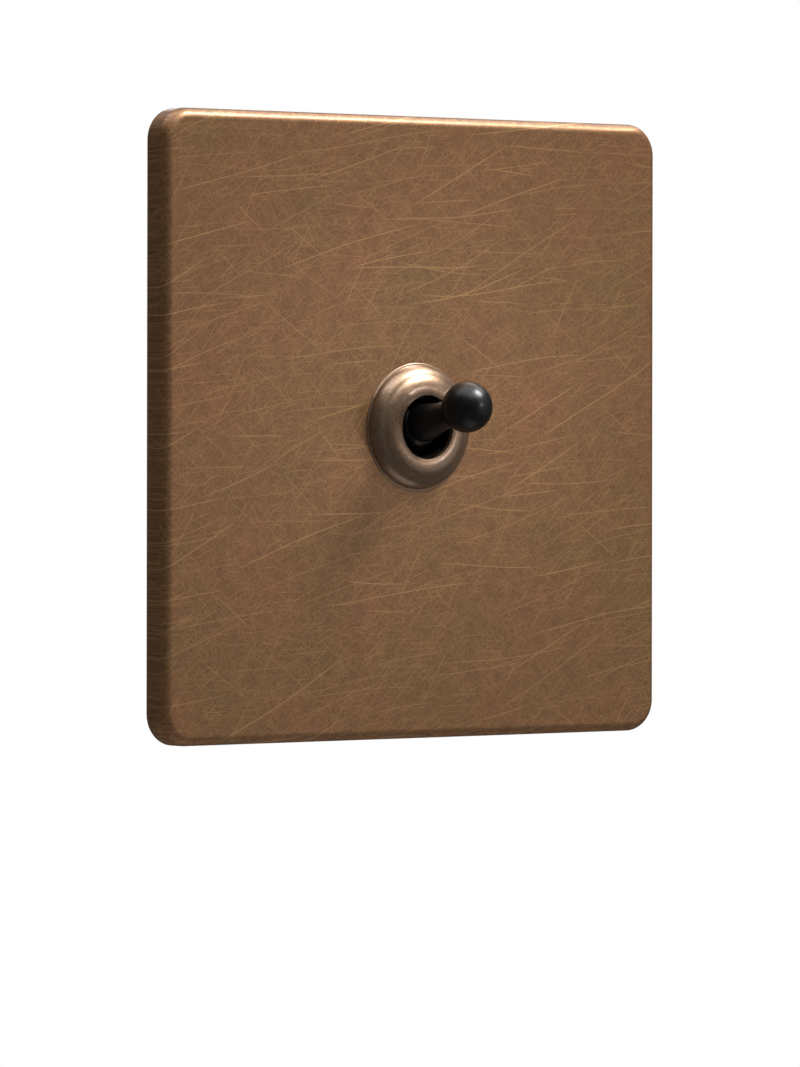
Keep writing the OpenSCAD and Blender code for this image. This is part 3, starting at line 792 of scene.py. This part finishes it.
def makeBoxScrews(c):
    low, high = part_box("box_screws")
    tip, top = -high.y / mm, -low.y / mm
    outline = [(0, tip), (c["core"] - c["pointIn"], tip), (c["core"], tip + c["pointUp"]),
               (c["core"], c["neckFrom"]), (c["neck"], c["neckFrom"]), (c["neck"], c["coneFrom"]),
               (c["head"], top - c["headEdge"]), (c["head"], top), (0, top)]
    first = cutScrew(outline, (c["core"], c["thread"], c["pitch"], tip + c["threadFrom"], c["neckFrom"]),
                     (c["slot"], c["slotDepth"], top, 1, c["slotTurn"]))
    workOn(first)
    bpy.ops.object.duplicate()
    second = bpy.context.object
    reach = high.x - c["head"] * mm
    setAt(first, -reach, 0)
    setAt(second, reach, 0)
    clearSelection()
    second.select_set(True)
    first.select_set(True)
    bpy.context.view_layer.objects.active = first
    bpy.ops.object.join()
    finishPiece(first, "boxScrews", "box_screws", angle=30)


for place in ("common", "lower", "upper", "earth"):
    makeClampScrew("clampScrew." + place, "clamp_screw_" + place, clampScrew)
makeBoxScrews(boxScrew)
print("screws made")

# ---- plunger spring ----

plungerSpring = {   # radii of the coil and the wire; from, to and seat are measured from the lever's pivot
    "coil": 1.1, "wire": 0.18, "wireSides": 12, "turns": 5, "steps": 32,
    "from": -5.4, "to": -2.4, "seat": -2.2,
}


def makePlungerSpring(c):
    clearSelection()
    bpy.ops.mesh.primitive_circle_add(vertices=c["wireSides"], radius=c["wire"] * mm,
                                      location=(c["coil"] * mm, 0, 0), rotation=(math.pi / 2, 0, 0))
    spring = bpy.context.object
    settle(spring)
    applied(spring, "SCREW", axis="Z", screw_offset=(c["to"] - c["from"]) / c["turns"] * mm,
            iterations=c["turns"], steps=c["steps"], render_steps=c["steps"])
    tidyFaces(spring, fineWeld, fill=True)
    spring.rotation_euler = leverLine.to_track_quat("Z", "Y").to_euler()
    spring.location = leverPivot + leverLine * c["from"] * mm
    settle(spring)
    finishPiece(spring, "plungerSpring", "plunger_spring")
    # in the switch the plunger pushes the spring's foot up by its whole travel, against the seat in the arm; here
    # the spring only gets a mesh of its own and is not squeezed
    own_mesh(spring)


makePlungerSpring(plungerSpring)
print("spring made")

# ---- mouldings, pressings and blocks: each takes the node's shape and gets its edges rounded ----

outerOnly = {   # piece name: node, edge width in mm; only the outside rims and corners are rounded
    "yokeFrame": ("yoke", 0.20), "caseFront": ("case_front", 0.35), "caseRear": ("case_rear", 0.22),
    "terminalCommon": ("terminal_common", 0.20), "terminalLower": ("terminal_lower", 0.20),
    "terminalUpper": ("terminal_upper", 0.20), "terminalEarth": ("terminal_earth", 0.22),
}
everyEdge = {   # piece name: node, edge width in mm
    "caseRivets": ("case_rivets", 0.12), "commonStrip": ("common_strip", 0.08),
    "lowerStrip": ("lower_strip", 0.08), "upperStrip": ("upper_strip", 0.08),
    "fixedContacts": ("fixed_contacts", 0.07), "rockerArm": ("rocker_arm", 0.07),
    "rockerContacts": ("rocker_contacts", 0.07), "bushNut": ("bush_nut", 0.16),
    "lockWasher": ("lock_washer", 0.06), "locatingRing": ("locating_ring", 0.06),
    "pivotPin": ("pivot_pin", 0.12), "arcShields": ("arc_shields", 0.05),
    "plungerRod": ("plunger", 0.06), "wallGasket": ("wall_gasket", 0.12),
}
rims = {
    "sharp": math.radians(40),   # an edge is rounded where its faces meet at more than this
    "longEdge": 2.5,             # mm
    "bend": math.radians(12),    # a rim runs on into an edge that turns less than this
    "reach": 0.01,               # mm off the outermost side
    "flat": math.radians(1),     # faces that turn less than this become one
    "rimSegments": 3,
    "edgeSegments": 2,
}


def outerRims(obj, r):
    # long sharp edges on the outermost sides, and the rounded corners that run on from them
    corners = [vertex.co for vertex in obj.data.vertices]
    limits = [(min(c[i] for c in corners), max(c[i] for c in corners)) for i in (0, 2)]
    normals = {}
    for face in obj.data.polygons:
        for key in face.edge_keys:
            normals.setdefault(key, []).append(face.normal)
    sharp = {}
    for edge in obj.data.edges:
        sides = normals.get(edge.key, [])
        if len(sides) == 2 and sides[0].angle(sides[1], 0) > r["sharp"]:
            sharp[edge.index] = edge
    chosen = []
    for edge in sharp.values():
        start, stop = ends(obj, edge)
        onSide = any(abs(start[i] - edgeOf) < r["reach"] * mm and abs(stop[i] - edgeOf) < r["reach"] * mm
                     for i, pair in zip((0, 2), limits) for edgeOf in pair)
        if onSide and (stop - start).length > r["longEdge"] * mm:
            chosen.append(edge)
    found = {edge.index for edge in chosen}
    meeting = {}
    for edge in sharp.values():
        for vertex in edge.vertices:
            meeting.setdefault(vertex, []).append(edge)
    while chosen:
        edge = chosen.pop()
        start, stop = ends(obj, edge)
        for vertex in edge.vertices:
            for other in meeting[vertex]:
                first, last = ends(obj, other)
                turn = (stop - start).angle(last - first, 0)
                if other.index not in found and min(turn, math.pi - turn) < r["bend"]:
                    found.add(other.index)
                    chosen.append(other)
    return found


def copyOfNode(name, node):
    piece = bpy.data.objects.new(name, nodes[node].data.copy())
    bpy.context.scene.collection.objects.link(piece)
    workOn(piece)
    bpy.ops.object.mode_set(mode="EDIT")
    bpy.ops.mesh.select_all(action="SELECT")
    bpy.ops.mesh.remove_doubles(threshold=weld)
    bpy.ops.mesh.dissolve_limited(angle_limit=rims["flat"])
    bpy.ops.object.mode_set(mode="OBJECT")
    return piece


for name, (node, width) in outerOnly.items():
    piece = copyOfNode(name, node)
    found = outerRims(piece, rims)
    pick(piece, "EDGE", lambda edge: edge.index in found)
    bpy.ops.mesh.bevel(offset=width * mm, segments=rims["rimSegments"], affect="EDGES", clamp_overlap=True)
    bpy.ops.object.mode_set(mode="OBJECT")
    finishPiece(piece, name, node)
for name, (node, width) in everyEdge.items():
    piece = copyOfNode(name, node)
    applied(piece, "BEVEL", width=width * mm, segments=rims["edgeSegments"], limit_method="ANGLE",
            angle_limit=rims["sharp"])
    finishPiece(piece, name, node)
print("rounded pieces made:", len(outerOnly) + len(everyEdge))

# ---- light, floor and backdrop ----

studio = {
    "white": 1.0,
    "surround": 0.060,      # how bright the unlit part of the room is
    "floorDrop": 0.30,
    "floorRadius": 1.5,
    "floorTones": ((0.86, 0.86, 0.86, 1), (0.90, 0.90, 0.90, 1)),
    "floorCloud": 3.0,
    # direction to the lamp, distance, width, height, watts, colour
    "lamps": {
        "frontFill": ((0.66, -0.75, 0.05), 1.1, 0.9, 1.1, 1.05, (1.0, 0.98, 0.95)),
        "key": ((0.46, -0.43, 0.77), 0.9, 0.28, 0.28, 12.8, (1.0, 0.99, 0.97)),
        "overhead": ((-0.14, -0.05, 1.0), 0.75, 1.5, 0.7, 8.6, (1.0, 0.99, 0.98)),
        "topSheet": ((0.62, 0.16, 0.77), 0.9, 0.5, 0.5, 2.2, (1.0, 0.99, 0.98)),
        "lowCard": ((0.06, -0.26, -0.96), 0.28, 0.22, 0.16, 0.05, (1.0, 1.0, 1.0)),
        "backFill": ((0.25, 0.95, 0.15), 1.3, 0.8, 0.8, 8.0, (0.97, 0.98, 1.0)),
    },
    # a narrow beam from the front, brightest on the collar
    "spot": {"direction": (0.50, -0.85, 0.15), "distance": 0.9, "power": 2.6, "beam": 5.6, "size": 0.02},
}


def makeStudio(s):
    clearSelection()
    for name, (direction, distance, width, height, power, colour) in s["lamps"].items():
        aim = Vector(direction).normalized()
        bpy.ops.object.light_add(type="AREA", location=aim * distance)
        lamp = bpy.context.object
        lamp.name = name
        lamp.rotation_euler = aim.to_track_quat("Z", "Y").to_euler()
        lamp.data.shape = "RECTANGLE"
        lamp.data.size = width
        lamp.data.size_y = height
        lamp.data.energy = power
        lamp.data.color = colour
        lamp.visible_camera = False
    spot = s["spot"]
    aim = Vector(spot["direction"]).normalized()
    bpy.ops.object.light_add(type="SPOT", location=aim * spot["distance"],
                             rotation=aim.to_track_quat("Z", "Y").to_euler())
    lamp = bpy.context.object
    lamp.name = "middleSpot"
    lamp.data.energy = spot["power"]
    lamp.data.spot_size = math.radians(spot["beam"])
    lamp.data.spot_blend = 1.0
    lamp.data.shadow_soft_size = spot["size"]
    bpy.ops.mesh.primitive_circle_add(vertices=96, radius=s["floorRadius"], fill_type="NGON",
                                      location=(0, 0, -s["floorDrop"]))
    floor = bpy.context.object
    floor.name = "floor"
    settle(floor)
    floor.visible_glossy = False
    material, tree, shader, place = startMaterial("paleFloor", 0.9)
    tone = put(tree, "TexNoise", {"Vector": place, "Scale": s["floorCloud"], "Detail": 2.0}).outputs["Fac"]
    tree.links.new(mixColour(tree, tone, *s["floorTones"]), shader.inputs["Base Color"])
    floor.data.materials.append(material)

    world = bpy.data.worlds.new("studio")
    bpy.context.scene.world = world
    world.use_nodes = True
    tree = world.node_tree
    background = tree.nodes["Background"]
    seen = put(tree, "LightPath").outputs["Is Camera Ray"]
    background.inputs["Color"].default_value = (1, 1, 1, 1)
    tree.links.new(remap(tree, seen, 0, 1, s["surround"], s["white"]), background.inputs["Strength"])
    bpy.context.scene.view_settings.view_transform = "Standard"


makeStudio(studio)
print("studio lit")
